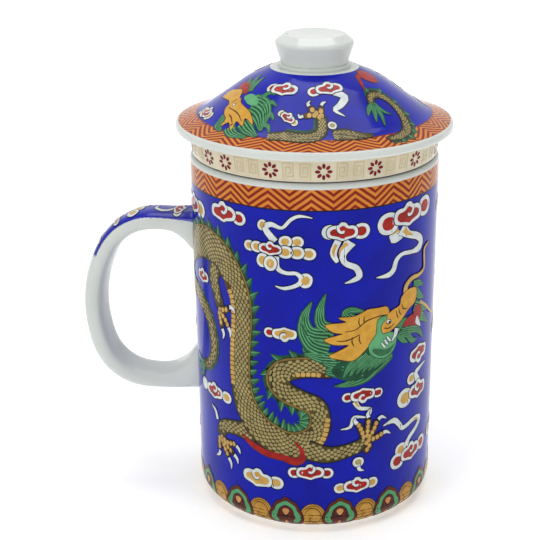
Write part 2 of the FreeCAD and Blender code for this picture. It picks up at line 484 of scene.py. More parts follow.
def ellipse(centre, a, b, turn=0.0, count=14):
    points = [(a * math.cos(math.tau * i / count), b * math.sin(math.tau * i / count)) for i in range(count)]
    return moved(points, centre, 1.0, turn)


def divided(outline, grid):
    """The outline with points added so that no side is longer than the draping grid."""
    points = []
    for a, b in zip(outline, outline[1:] + outline[:1]):
        count = max(1, math.ceil((b - a).length / grid))
        points += [a.lerp(b, i / count) for i in range(count)]
    return points


class Canvas:
    """Enamel pieces of one carrier, one for each colour."""

    def __init__(self, name, node, body, slot, place, grid=DRAPE_GRID):
        self.name, self.body, self.slot, self.place, self.grid = name, body, slot, place, grid
        self.shift, self.turn = 0, 0
        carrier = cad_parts[node]
        self.surface = BVHTree.FromObject(carrier, bpy.context.evaluated_depsgraph_get())
        self.world = carrier.matrix_world.copy()
        self.local = self.world.inverted()
        self.pieces = {}

    def put(self, point):
        """Point of a figure, turned and shifted to where that figure goes."""
        c, s = math.cos(self.turn), math.sin(self.turn)
        return Vector((point[0] * c - point[1] * s + self.shift, point[0] * s + point[1] * c))

    def drape(self, point, layer):
        """Point of the drawing laid on the carrier, just above its surface."""
        start, towards = self.place(point.x, point.y)
        local_start = self.local @ start
        local_towards = self.local.to_3x3() @ towards
        hit, normal, _, _ = self.surface.ray_cast(local_start, local_towards.normalized(), REACH * MM)
        if hit is None:
            return None
        lift = (FIRST_LAYER + LAYER * layer) * MM
        return self.world @ hit + (self.world.to_3x3() @ normal).normalized() * lift

    def add(self, paint, points, faces, layer):
        """Drapes a small mesh and joins it to the piece of its colour."""
        vertices, polygons = self.pieces.setdefault(paint, ([], []))
        places = [self.drape(point, layer) for point in points]
        first = len(vertices)
        index = {}
        for i, spot in enumerate(places):
            if spot is not None:
                index[i] = first + len(index)
                vertices.append(spot)
        polygons.extend([index[i] for i in face] for face in faces if all(i in index for i in face))

    def fill(self, paint, outlines, layer):
        """Fills the union of the outlines."""
        outlines = [divided([self.put(point) for point in outline], self.grid) for outline in outlines]
        points = [point for outline in outlines for point in outline]
        loops = []
        first = 0
        for outline in outlines:
            loop = list(range(first, first + len(outline)))
            loops.append(loop if doubled_area(outline) > 0 else loop[::-1])
            first += len(outline)
        low = [min(point[k] for point in points) for k in (0, 1)]
        high = [max(point[k] for point in points) for k in (0, 1)]
        columns, rows = (int((high[k] - low[k]) / self.grid) for k in (0, 1))
        inner = [Vector((low[0] + self.grid * (i + 0.5), low[1] + self.grid * (j + 0.5)))
            for i in range(columns) for j in range(rows)]
        out = geometry.delaunay_2d_cdt(points + inner, [], loops, 1, 1e-4)
        faces = [face for face, source in zip(out[2], out[5]) if source]
        used = sorted({i for face in faces for i in face})
        index = {old: new for new, old in enumerate(used)}
        self.add(paint, [out[0][i] for i in used], [[index[i] for i in face] for face in faces], layer)

    def flake(self, paint, outline, layer):
        """One small face, for a shape of a millimetre or two."""
        outline = [self.put(point) for point in outline]
        if doubled_area(outline) <= 0:
            outline.reverse()
        self.add(paint, outline, [list(range(len(outline)))], layer)

    def line(self, paint, points, widths, layer, grow=0, steps=4):
        """Fills one brush stroke."""
        self.fill(paint, [stroke(points, widths, grow, steps)], layer)

    def edged(self, edge, paint, shapes, rim, layer):
        """Fills shapes over a rim of another colour."""
        self.fill(edge, [spread(shape, rim) for shape in shapes], layer)
        self.fill(paint, shapes, layer + 1)

    def edged_line(self, edge, paint, points, widths, rim, layer):
        """Fills one brush stroke over a rim of another colour."""
        self.line(edge, points, widths, layer, rim)
        self.line(paint, points, widths, layer + 1)

    def build(self):
        """Makes one object for each colour."""
        for paint, (vertices, polygons) in self.pieces.items():
            mesh = bpy.data.meshes.new(f"{self.name}_{paint}")
            mesh.from_pydata(vertices, [], polygons)
            mesh.validate()
            mesh.shade_smooth()
            piece = bpy.data.objects.new(f"{self.name}_{paint}", mesh)
            bpy.context.scene.collection.objects.link(piece)
            mesh.materials.append(MATERIALS[paint])
            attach(piece, self.body)


MATERIALS = {name: enamel(f"enamel_{name}", *tones) for name, tones in PAINTS.items()}


def on_wall(u, v):
    """Ray towards the mug's axis at that place of the wall."""
    angle = FRONT + u / RIM_RADIUS
    out = Vector((math.cos(angle), math.sin(angle), 0))
    return (out * REACH + Vector((0, 0, v))) * MM, -out


def on_lid(x, y):
    """Ray down on the lid, with the front turned to the photograph's side."""
    turn = FRONT + math.pi / 2
    c, s = math.cos(turn), math.sin(turn)
    place = Vector((x * c - y * s, x * s + y * c, 0))
    return (place + Vector((0, 0, LID_SEAT + REACH))) * MM, Vector((0, 0, -1))


def on_handle(s, t):
    """Ray towards the loop's middle. s goes along the top from the wall and t across, towards the front."""
    corner = Vector((HANDLE_CORNER[0], -t, HANDLE_CORNER[1]))
    if s < HANDLE_ROOT:
        return (corner + Vector((HANDLE_ROOT - s, 0, REACH))) * MM, Vector((0, 0, -1))
    angle = math.pi / 2 + (s - HANDLE_ROOT) / HANDLE_ARC
    out = Vector((math.cos(angle), 0, math.sin(angle)))
    return (corner + out * REACH) * MM, -out


wall = Canvas("mug_enamel", "mug_body", "mug", "mug_glaze", on_wall)
collar = Canvas("collar_enamel", "infuser_cup", "infuser", "infuser_glaze", on_wall)
cover = Canvas("lid_enamel", "lid_shell", "lid", "lid_glaze", on_lid)
loop = Canvas("handle_enamel", "mug_handle", "mug", "handle_glaze", on_handle, BEND_GRID)

# Clouds

CLOUD_BODY = [(-4.7, -0.2), (-4.3, 1.3), (-3, 1.9), (-1.8, 1.9), (-0.9, 2.9), (0.5, 3), (1.4, 2.1),
    (2.8, 2.1), (4.2, 1.4), (4.7, 0.1), (4.2, -1.3), (2.8, -1.8), (1.4, -2.1), (0.2, -2.6), (-1.2, -2.3),
    (-2.7, -1.9), (-4.2, -1.5)]
CLOUD_HEART = [(-3.8, -0.3), (-3.3, 0.8), (-2.2, 1), (-1.2, 1.3), (-0.3, 2), (0.6, 1.7), (1.4, 1.1),
    (2.7, 1.1), (3.7, 0.3), (3.4, -0.7), (2.2, -1.1), (1.1, -1.4), (0.1, -1.9), (-1.2, -1.5), (-2.9, -1.2)]
CLOUD_CURL = [(1.5, 2.2), (1.3, 0.8), (0.6, 0), (-0.2, 0), (-0.3, 0.5)]
CURL_WIDTHS = (0.5, 0.45, 0.4, 0.3)
CLOUD_HOOK = [(1.8, 2.3), (1.75, 0.6), (0.7, -0.5), (-0.5, -0.4), (-0.7, 0.4)]
HOOK_WIDTHS = (0.04, 0.12, 0.14, 0.04)
LOBE = [(-2.3, 0), (-1.6, 1.5), (0, 2), (1.6, 1.5), (2.3, 0), (1.6, -1.5), (0, -2), (-1.6, -1.5)]
LOBE_REACH = 0.9
LOBE_HEART = 0.6
EDGE = 0.28


def lobe(canvas, centre, heart, size=1, layer=1, turn=0):
    """Round white puff with a coloured heart."""
    canvas.edged("black", "white", [blob(moved(LOBE, centre, size, turn), 3)], EDGE, layer)
    canvas.fill(heart, [blob(moved(LOBE, centre, size * LOBE_HEART, turn), 3)], layer + 2)


def ribbon(canvas, points, widths, layer=1, heart=None):
    """White trail of a cloud, with an optional yellow stretch in its middle."""
    canvas.edged_line("black", "white", points, widths, EDGE, layer)
    if heart:
        canvas.line("yellow", *heart, layer + 2)


def cloud(canvas, centre, heart, size=1, mirror=1, turn=0, flip=1, lobes=(), layer=4):
    """Cloud head shaped like a ruyi, with puffs at its sides: (offset, rise, colour, size)."""
    def placed(points):
        return moved([(x, y * flip) for x, y in points], centre, size, turn, mirror)

    for offset, rise, paint, puff in lobes:
        spot = moved([(offset * LOBE_REACH, rise)], centre, size, turn)[0]
        lobe(canvas, spot, paint, puff * size, layer - 3, turn)
    canvas.edged("black", "white", [blob(placed(CLOUD_BODY), 3)], EDGE, layer)
    canvas.fill(heart, [blob(placed(CLOUD_HEART), 3)], layer + 2)
    canvas.line("white", placed(CLOUD_CURL), CURL_WIDTHS, layer + 3)
    canvas.line("black", placed(CLOUD_HOOK), HOOK_WIDTHS, layer + 4)


def front_clouds(canvas):
    """The clouds round one dragon."""
    cloud(canvas, (-29.5, 100.3), "red", 1.1, lobes=((6.3, -0.5, "red", 0.95),))
    cloud(canvas, (-48.5, 98.2), "red", 1.1, lobes=((6.4, -0.2, "yellow", 1.2), (-6.2, 0.3, "red", 1)))
    cloud(canvas, (59, 96), "red", 1, mirror=-1, turn=-0.1,
        lobes=((-6.2, 0, "yellow", 1), (6.2, 0.2, "red", 1)))
    cloud(canvas, (58.6, 56.4), "yellow", 0.95, lobes=((-6.2, 0, "red", 0.95),))
    cloud(canvas, (56, 21.6), "red", 1, mirror=-1, lobes=((-6.2, 0, "yellow", 1), (6.2, 0.2, "yellow", 1)))
    ribbon(canvas, [(-11.5, 94.5), (-14.5, 98.2), (-12.6, 99.6), (-9.4, 98.8), (-6.8, 101.4), (-4.2, 102.6),
        (-0.6, 102.1)], (1.1, 0.9, 0.75, 0.45, 0.5, 0.45, 0.08))
    lobe(canvas, (-15.4, 99.1), "yellow", 0.72, 0, 1.2)
    ribbon(canvas, [(-11.2, 90), (-10.9, 86.6), (-8.5, 85.2), (-5.3, 85.2), (-3.7, 83.4), (-5.2, 81.6),
        (-8.8, 80.4), (-11.6, 80.9)], (0.9, 0.8, 0.55, 0.55, 0.75, 0.6, 0.5, 0.1))
    lobe(canvas, (-2.6, 83.1), "yellow", 1, 0, 1.3)
    puffs = [(-15.4, 88.4, 0.95, 1.3), (-13, 87.7, 1, 1.4), (-19.6, 92.3, 0.8, 0), (-17.2, 92.3, 0.85, 0),
        (-5, 94.8, 0.85, 0.3), (-8.4, 94.8, 0.85, 0.2), (-1.6, 91.3, 0.9, 0), (-5, 91.6, 0.95, 0),
        (-8.4, 91.6, 0.95, 0)]
    for i, (u, v, puff, turn) in enumerate(puffs):
        lobe(canvas, (u, v), "yellow", puff, 2 + 2 * i, turn)
    cloud(canvas, (-13, 92.2), "red", 0.74, mirror=-1, layer=22)
    ribbon(canvas, [(6.8, 95.2), (5.4, 91.5), (6.6, 88.6)], (1, 1, 0.5), 1,
        ([(6.2, 94), (5.4, 92), (5.6, 90.2)], (0.5, 0.45, 0.1)))
    ribbon(canvas, [(10.4, 94.6), (8.2, 91), (8.9, 88.2), (12.2, 86.4), (13.2, 83.8), (11.2, 82.6),
        (8.8, 82)], (1.9, 1, 0.8, 0.9, 1, 0.6, 0.1), 3,
        ([(9.4, 94.2), (7.5, 92.4), (7.2, 90.2)], (0.7, 0.4, 0.08)))
    cloud(canvas, (8, 97.6), "red", 0.98, mirror=-1,
        lobes=((-4, 0.2, "white", 1.1), (6.4, -0.1, "red", 1.2)), layer=8)
    ribbon(canvas, [(25.5, 95.8), (25, 93.4), (28.3, 93.2)], (2.2, 1.7, 0.3), 1,
        ([(25.2, 96), (25.4, 94.8)], (1.2, 1.2)))
    ribbon(canvas, [(27.8, 95.8), (30.8, 93.4), (35, 91.8), (37.4, 89.8), (36.4, 87.8), (33, 87.4),
        (28.5, 87.8), (26, 86.4), (25, 83.8), (23, 82.4), (18.8, 82.4)],
        (2.2, 1.1, 1.1, 1.1, 1.3, 0.6, 0.6, 0.8, 0.9, 0.8, 0.1), 2,
        ([(28.8, 95.2), (30.4, 93.8), (33, 92.6)], (0.9, 0.7, 0.1)))
    cloud(canvas, (30.8, 99.4), "red", 1.3, lobes=((-6.9, -0.9, "red", 1.3), (7, 0.6, "red", 1.2)), layer=6)
    cloud(canvas, (-9, 66.1), "yellow", 0.8, mirror=-1, flip=-1, lobes=((-6.4, 0, "red", 0.95),))
    cloud(canvas, (-42, 77), "red", 0.8)
    cloud(canvas, (-36.6, 40.7), "red", 0.95, lobes=((7.4, 0, "yellow", 1), (-8, 0, "white", 1)))
    cloud(canvas, (38.5, 53), "red", 1.1, mirror=-1, flip=-1)
    ribbon(canvas, [(12.4, 43.8), (14, 41.4), (17.6, 40.4), (16.8, 37.8)], (0.9, 0.6, 0.5, 0.3), 1,
        ([(12.6, 43.6), (13.8, 41.8)], (0.5, 0.2)))
    ribbon(canvas, [(16, 38), (12.2, 38.6), (11, 35.6), (8, 35.1)], (0.2, 0.55, 0.5, 0.1), 2)
    cloud(canvas, (15, 45.6), "red", 0.86, mirror=-1, flip=-1,
        lobes=((6.6, -0.3, "red", 0.88), (-6.4, -0.2, "red", 0.88)))
    lobe(canvas, (34.6, 45.6), "yellow", 0.95, 0)
    ribbon(canvas, [(38.6, 43.6), (37, 46.6), (40, 47.8), (43.6, 48.4)], (1.1, 1, 0.5, 0.1), 1)
    cloud(canvas, (38.6, 40.6), "red", 1.1, mirror=-1, lobes=((-7.2, -0.4, "yellow", 1.4),))
    ribbon(canvas, [(22.4, 33.6), (26.6, 34.2), (29, 32.2), (31, 30.2), (36.6, 31.2), (40.4, 30.2),
        (38.6, 27.8), (34.6, 25.8), (32.6, 23.4)], (0.1, 0.9, 0.8, 0.7, 0.7, 1, 0.8, 0.8, 1.2), 1,
        ([(37, 31), (39.4, 30.2)], (0.4, 0.3)))
    lobe(canvas, (30.2, 23), "yellow", 1.1, 1)
    cloud(canvas, (35.6, 20.4), "red", 1.1, lobes=((-7, -0.8, "red", 1.2), (6.8, 0.4, "red", 1.1)), layer=5)
    cloud(canvas, (-1.3, 21), "red", 0.92, lobes=((-6, -0.3, "red", 0.95), (6.2, -0.3, "red", 0.95)))
    cloud(canvas, (-18.6, 16.8), "yellow", 1.1, mirror=-1, turn=-0.08, lobes=((6.6, 0.2, "yellow", 0.95),))
    cloud(canvas, (13.4, 15.4), "red", 0.92, mirror=-1,
        lobes=((6.4, -0.1, "yellow", 0.95), (-6.6, -0.2, "yellow", 0.9)))


# Dragon

SPINE = [(5, 55.2), (0.5, 55.8), (-4.5, 55.6), (-9.2, 54.2), (-11.3, 50.8), (-8.8, 47.5), (-4, 45.2),
    (0.4, 43), (1.7, 38.8), (0.8, 34.4), (-3.2, 31), (-8, 30), (-13, 31.4), (-18.6, 35.2), (-22.6, 41.5),
    (-24, 48), (-24.2, 55), (-23.6, 62), (-23, 69), (-23.6, 75), (-26, 81), (-30.6, 86.2), (-37, 88.6),
    (-44, 87.6), (-51, 84), (-55.6, 79.6), (-56.4, 74.8), (-53.6, 71.4), (-49.6, 70.8)]
GIRTH = [2.9, 3, 3.2, 3.5, 3.5, 3.2, 3, 3, 3, 3.3, 3.9, 4.3, 4.6, 4.5, 4.1, 3.8, 3.7, 3.6, 3.6, 3.8, 4.2, 4.7,
    5.2, 5, 4.4, 3.8, 3.3, 2.9, 2.5]
TAIL = [(-50.5, 71), (-46.5, 69.8), (-42, 67.6), (-38.4, 64), (-36.4, 58.6), (-36.6, 53.4), (-39.4, 49.4),
    (-44, 47.4)]
BELLY_FLAME = ([(-24, 30.5), (-20, 28), (-15, 26.2), (-10, 25.6), (-6, 24.6), (-3.8, 25.8), (-4, 28.6),
    (-6.4, 31.6)], (0.2, 0.9, 1.1, 1, 1.2, 1.1, 0.7, 0.1))
HORN = ([(30, 75.4), (30.4, 77.4), (33, 79), (37, 79.1), (39.8, 80.4), (39.6, 84), (39.8, 86.6),
    (42.6, 87.8)], (0.9, 0.8, 0.7, 0.5, 0.5, 0.5, 0.5, 0.1))
SCALE = [(-0.56, -0.3), (-0.56, 0.3), (-0.1, 0.5), (0.34, 0.42), (0.6, 0), (0.34, -0.42), (-0.1, -0.5)]
BODY_EDGE = 0.35
SCALE_PITCH = 1.42
SCALE_LENGTH = 1.5
SCALE_OVERLAP = 0.72
SCALE_MARGIN = 0.25
SCALE_CROWD = 1.35
SCALE_STRETCH = (0.75, 1.6)
SPIKE_PITCH = 3.3
PLATE = [(-0.6, -0.8), (-0.6, 0.8), (0.45, 0.85), (0.72, 0.3), (0.72, -0.3), (0.45, -0.85)]
PLATE_PITCH = 1.55
KNUCKLE = (0.66, 0.78)
KNUCKLE_PITCH = 1.5
LINE_EDGE = 0.25
STRAND_EDGE = 0.22
HAIR_SHARE = 0.11
HAIR_LIMIT = 0.16
STRAND_LINES = (-0.7, -0.46, -0.22, 0.02, 0.26, 0.5, 0.74)


def even(points, pitch, steps=12):
    """Points at even distances along a smooth line, with how far along the given points they lie."""
    line = curve(points, False, steps)
    found = []
    walked, wanted = 0, 0
    for i in range(len(line) - 1):
        piece = (line[i + 1] - line[i]).length
        while wanted <= walked + piece:
            share = (wanted - walked) / piece
            found.append((line[i].lerp(line[i + 1], share), (i + share) / steps))
            wanted += pitch
        walked += piece
    return found


def flank(points, widths, grow, side):
    """Line along one side of a body, moved outwards by grow."""
    line = curve(points, False, 6)
    return sides(line, [width_at(widths, i / 6) for i in range(len(line))], grow)[side < 0]


def scaled(canvas, points, widths, layer, fine=1):
    """Body covered in staggered rows of scales."""
    canvas.edged_line("black", "olive", points, widths, BODY_EDGE, layer)
    pitch = SCALE_LENGTH * SCALE_OVERLAP * fine
    rows = even(points, pitch)
    last = {}

    def edges(i):
        ahead = (rows[min(i + 1, len(rows) - 1)][0] - rows[max(i - 1, 0)][0]).normalized()
        return ahead, left_of(ahead)

    for i, (spot, share) in enumerate(rows[:-1]):
        ahead, across = edges(i)
        following = edges(i + 1)[1]
        width = width_at(widths, share) - SCALE_MARGIN * fine
        count = int(width / (SCALE_PITCH * fine)) + 1
        for k in range(-count, count + 1):
            offset = (k + (i % 2) / 2) * SCALE_PITCH * fine
            centre = spot + across * offset
            if abs(offset) > width - BODY_EDGE * fine:
                continue
            if (k, i % 2) in last and (centre - last[k, i % 2]).length < pitch * SCALE_CROWD:
                continue
            last[k, i % 2] = centre
            stretch = (rows[i + 1][0] + following * offset - centre).length / pitch
            along = fine * min(max(stretch, SCALE_STRETCH[0]), SCALE_STRETCH[1])
            scale = [centre + ahead * x * along + across * y * fine for x, y in SCALE]
            canvas.flake("cream", scale, layer + 2)


def spikes(canvas, points, widths, layer, side=-1, first=2, length=3.4, lean=1.5, shrink=0):
    """Green fringe with spikes along one side of the body."""
    spots = even(points, SPIKE_PITCH)
    for i, (spot, share) in enumerate(spots[:-1]):
        if i * SPIKE_PITCH < first:
            continue
        ahead = (spots[i + 1][0] - spot).normalized()
        across = left_of(ahead) * side

        def at(along, out):
            return spot + ahead * along * size + across * out

        width = width_at(widths, share)
        size = min(1, length / 3) * (1 - shrink * i / len(spots))
        tip = at(lean, width + length * size * (0.85 + 0.3 * ((i * 7) % 5) / 4))
        inner = width - 0.5
        swell = width + 1.3 * size
        base = [at(-2.3, inner), at(-1, swell), tip, at(1.5, swell), at(2.3, inner)]
        canvas.fill("pine", [base], layer)
        inside = [at(-1.2, inner), at(-0.2, swell), spot.lerp(tip, 0.94), at(1.2, swell), at(1, inner)]
        canvas.fill("green", [inside], layer + 1)
        vein = [at(0.5, width), spot.lerp(tip, 0.9)]
        canvas.line("mint", vein, (0.2 * size, 0.05), layer + 2, steps=1)
    canvas.line("pine", flank(points, widths, 0.5, side)[6:], (0.7, 0.7), layer, steps=1)


def spine_line(canvas, points, widths, layer, side=-1):
    """Narrow band along the back, between the scales and the spikes."""
    edge = flank(points, widths, -0.15, side)
    canvas.line("olive", edge, (0.42, 0.42), layer, steps=1)
    canvas.line("tan", edge, (0.24, 0.24), layer + 1, steps=1)


def scutes(canvas, points, layer, size=1):
    """Row of gold belly plates."""
    canvas.line("umber", points, (size, size), layer)
    rows = even(points, PLATE_PITCH)
    for i, (spot, _) in enumerate(rows[:-1]):
        ahead = (rows[i + 1][0] - spot).normalized()
        across = left_of(ahead)
        canvas.flake("scute", [spot + ahead * x + across * y * size for x, y in PLATE], layer + 1)


def talon(canvas, points, layer, width=0.62):
    """White claw."""
    canvas.edged_line("black", "white", points, (width, width * 0.85, 0.08), STRAND_EDGE, layer)


def toe(canvas, points, layer, width=0.95):
    """Knuckled toe, whose knuckles keep their direction when the figure is turned."""
    canvas.edged_line("black", "umber", points, (width, width), LINE_EDGE, layer)
    for spot, _ in even(points, KNUCKLE_PITCH):
        canvas.fill("scute", [ellipse(spot, *KNUCKLE, -canvas.turn, 9)], layer + 2)


def limb(canvas, leg, widths, toes, talons, layer):
    """Scaled leg with its toes and talons."""
    scaled(canvas, leg, widths, layer)
    for points in toes:
        toe(canvas, points, layer + 3)
    for points in talons:
        talon(canvas, points, layer + 6)


def strands(canvas, tufts, layer):
    """Tufts of hair: each a tapering stroke with fine light and dark hairs on it."""
    for points, widths in tufts:
        canvas.edged_line("pine", "green", points, widths, STRAND_EDGE, layer)
        line = curve(points, False, 3)
        thin = tuple(min(HAIR_LIMIT, width * HAIR_SHARE) for width in widths)
        for k, offset in enumerate(STRAND_LINES):
            track = sides(line, tuple(width * abs(offset) for width in widths))[offset >= 0]
            canvas.line("pine" if k % 2 else "mint", track, thin, layer + 2, steps=1)


def dragon(canvas):
    """The dragon on the wall, from its tail forwards and from below upwards."""
    # Tail
    tail_width = (2.6, 2.4, 2.2, 2, 1.9, 1.7, 1.4, 0.8)
    spikes(canvas, TAIL, tail_width, 1, side=1, length=2.2, lean=1, shrink=0.3)
    scaled(canvas, TAIL, tail_width, 3)
    spine_line(canvas, TAIL, tail_width, 6, side=1)
    strands(canvas, [([(-43.6, 47.6), (-46.4, 45.4), (-49.4, 45.8)], (0.8, 0.8, 0.1)),
        ([(-43.6, 47.6), (-46.6, 47.6), (-50, 49.2)], (0.8, 0.8, 0.1)),
        ([(-43.6, 47.4), (-44.6, 44), (-46.6, 42.4)], (0.8, 0.7, 0.1))], 5)

    # Hind leg, behind the belly
    leg = [(-16, 33.5), (-22, 32), (-27.5, 31.6), (-32.2, 30.2), (-33.6, 26.8)]
    toes = [[(-33.2, 26.4), (-30.4, 25.4), (-27.2, 26)], [(-32.8, 25.6), (-30.2, 23.8), (-27.9, 22.6)],
        [(-33.2, 25.2), (-31.6, 22.8), (-30.2, 20.8)], [(-34.4, 25.6), (-34.6, 23.6), (-34.4, 21.8)]]
    talons = [[(-26.4, 25.6), (-25.4, 24.8), (-24.8, 23.4)], [(-27.4, 22.2), (-26.2, 21.2), (-25.8, 19.6)],
        [(-30, 20.2), (-28.9, 18.8), (-28.8, 16.8)], [(-34.2, 21.2), (-34.8, 19.8), (-36.4, 18.8)],
        [(-35.2, 31.6), (-36.2, 34.2), (-38.4, 35.6)]]
    limb(canvas, leg, (3.8, 3, 2.2, 2.1, 2), toes, talons, 3)

    # Upper leg at the left
    leg = [(-33, 84), (-35, 79), (-33.6, 74), (-32, 70)]
    toes = [[(-32.2, 69.2), (-29.6, 69.8), (-28.4, 70.6)], [(-32, 68.4), (-29.8, 66.6), (-28.8, 65)],
        [(-32.6, 68), (-32, 65.6), (-31.4, 63.8)]]
    talons = [[(-27.8, 71.2), (-26.4, 71), (-25.6, 69.8)], [(-28.4, 64.4), (-27.6, 63), (-27.8, 61.4)],
        [(-31.2, 63.2), (-30.6, 61.8), (-31, 60)]]
    limb(canvas, leg, (3.2, 2.4, 2, 1.8), toes, talons, 3)

    # Body
    spikes(canvas, SPINE, GIRTH, 2, first=6)
    canvas.line("red", *BELLY_FLAME, 11)
    canvas.line("maroon", *BELLY_FLAME, 4, 0.3)
    scaled(canvas, SPINE, GIRTH, 5)
    spine_line(canvas, SPINE, GIRTH, 8)
    scutes(canvas, [(-27, 47), (-27.2, 53), (-26.9, 60), (-26.2, 68), (-26.6, 74), (-28.8, 79)], 8)
    scutes(canvas, [(3.9, 38.5), (3.4, 35), (2.2, 31.6), (0, 28.8), (-2, 26.6)], 8)
    scutes(canvas, [(-5, 53.4), (-1, 53.6), (3.2, 53.2)], 8, size=0.8)

    # Foreleg
    leg = [(-2, 28.6), (4, 27), (9.5, 27.6), (14, 28.8), (16.6, 30.6)]
    toes = [[(15.4, 31.6), (14.6, 34), (13.6, 36)], [(16.6, 31.8), (16.8, 34.6), (17, 37.2)],
        [(17.4, 31.4), (18.8, 33.2), (20, 36)], [(17.2, 30.2), (19.6, 30.4), (22, 31.2)],
        [(16.4, 29.4), (17.4, 28), (15.8, 26.4)]]
    talons = [[(13.2, 36.4), (12.4, 37.4), (12.6, 38.4)], [(17, 37.8), (16.6, 39), (17.4, 40.6)],
        [(20.4, 36.4), (21.6, 37), (23.4, 36)], [(22.4, 31.4), (23.6, 31.4), (25.2, 30.4)],
        [(13.8, 21.8), (14.2, 20.8), (15.6, 20.2)]]
    limb(canvas, leg, (3.2, 2.6, 2.1, 2, 1.9), toes, talons, 9)
    lobe(canvas, (13.7, 23.4), "cream", 0.8, 12)

    # Mane
    strands(canvas, [([(4, 66), (-1.4, 67), (-3, 71.4), (-0.8, 76.6)], (2.4, 2, 1.4, 0.1)),
        ([(6, 67.4), (2, 69.6), (1.6, 74), (3.2, 79)], (2, 1.7, 1.2, 0.1)),
        ([(4, 61), (-1, 63), (-3.6, 68), (-3.4, 73.6)], (2.4, 2, 1.4, 0.1)),
        ([(12, 70.6), (9, 72.2), (11, 73.4), (15.8, 72.2)], (1, 1.2, 1, 0.1)),
        ([(8, 58.6), (2, 59), (-3, 60.4)], (2, 1.6, 0.2)),
        ([(24, 57.6), (18, 54.6), (10, 54), (3.4, 54.6)], (2.4, 3.2, 2.6, 0.8)),
        ([(20, 55), (15, 51.6), (10.6, 50), (6, 49.6)], (2.4, 2.2, 1, 0.1)),
        ([(12, 58), (7, 56.8), (2.6, 57.4)], (2.2, 2, 0.6))], 11)
    nape = blob([(9, 58.4), (5, 55), (8, 51.6), (14, 50.8), (20, 53.2), (23, 57), (18, 60.4), (13, 60.6)])
    canvas.fill("pine", [nape], 14)
    curls = [[(14 + 2.2 * k, 59 - 0.4 * k), (10.6 + 2.1 * k, 55.6), (8.6 + 2 * k, 52.2 + 0.3 * k)]
        for k in range(6)]
    strands(canvas, [(curl, (1, 0.9, 0.15)) for curl in curls], 15)

    # Face
    skin = blob([(23.4, 70.2), (22.6, 72.6), (19.6, 72.8), (16, 72.9), (12, 71.4), (7, 71.4), (9.4, 69.8),
        (3.2, 69.4), (5.4, 67), (8.4, 66.2), (2.8, 64.8), (5.8, 63), (10.2, 62.6), (8, 61.2), (4.2, 59.4),
        (7.4, 58.2), (11.4, 57.4), (14, 59), (17.2, 62.2), (19.6, 66), (20.6, 69)], 3)
    muzzle = blob([(21.2, 68.8), (24.6, 70.9), (27.6, 71.8), (28.4, 74.2), (31, 75.8), (34.8, 75.6),
        (35.6, 73.2), (34.6, 70.8), (31.6, 69.6), (28.8, 67.2), (25, 64.9), (21.4, 63.9), (20.6, 66)], 3)
    canvas.edged("umber", "gold", [skin, muzzle], LINE_EDGE, 18)
    cheek = blob([(19.4, 68.6), (19, 64.6), (16.6, 61.4), (17.4, 58.4), (20.6, 56.6), (24, 57), (26.2, 59.4),
        (26.4, 62.6), (24.2, 64.2), (21.2, 64.2), (20.6, 67), (22.8, 69.2), (21, 69.8)], 3)
    canvas.edged("pine", "mint", [cheek], LINE_EDGE, 20)
    jowl = blob([(17.6, 59.6), (20.4, 57.2), (24, 57.6), (26, 60), (22.6, 59), (19.4, 60)])
    canvas.fill("green", [jowl], 22)
    for points in ([(20.9, 61.4), (21.8, 60.2), (22.4, 59.6)], [(22, 62.2), (22.8, 61), (23.4, 60.4)],
            [(22.9, 63), (23.8, 61.8), (24.4, 61.2)]):
        canvas.line("pine", points, (0.3, 0.4, 0.2), 22, 0.15)
        canvas.line("white", points, (0.25, 0.35, 0.15), 23)
    for points in ([(9, 66.8), (12.4, 67.2), (15.6, 69.4), (20, 70.2), (23, 70)],
            [(6.4, 64.2), (9.4, 64), (13.6, 65.4)], [(13.6, 65.2), (13.4, 63.8), (14, 62.4)],
            [(11.2, 65), (11.2, 63.2), (11.8, 62)], [(13.4, 70.8), (13.2, 69.4), (13.6, 68.2)],
            [(15, 71), (14.8, 69.8), (15.2, 68.8)], [(26.2, 70.6), (26.6, 69), (27.2, 67.8)],
            [(27.2, 71.2), (27.6, 69.6), (28.4, 68.6)], [(28.6, 72), (29.2, 70.4), (31, 69.9)],
            [(21.6, 66), (23.6, 65.6), (25.6, 66.6)]):
        canvas.line("umber", points, (0.1, 0.22, 0.12), 20)
    canvas.fill("black", [ellipse((23.4, 67.7), 0.95, 0.85)], 23)
    canvas.fill("white", [ellipse((23.3, 67.8), 0.68, 0.58)], 24)
    canvas.fill("black", [ellipse((23.6, 67.6), 0.3, 0.3)], 25)

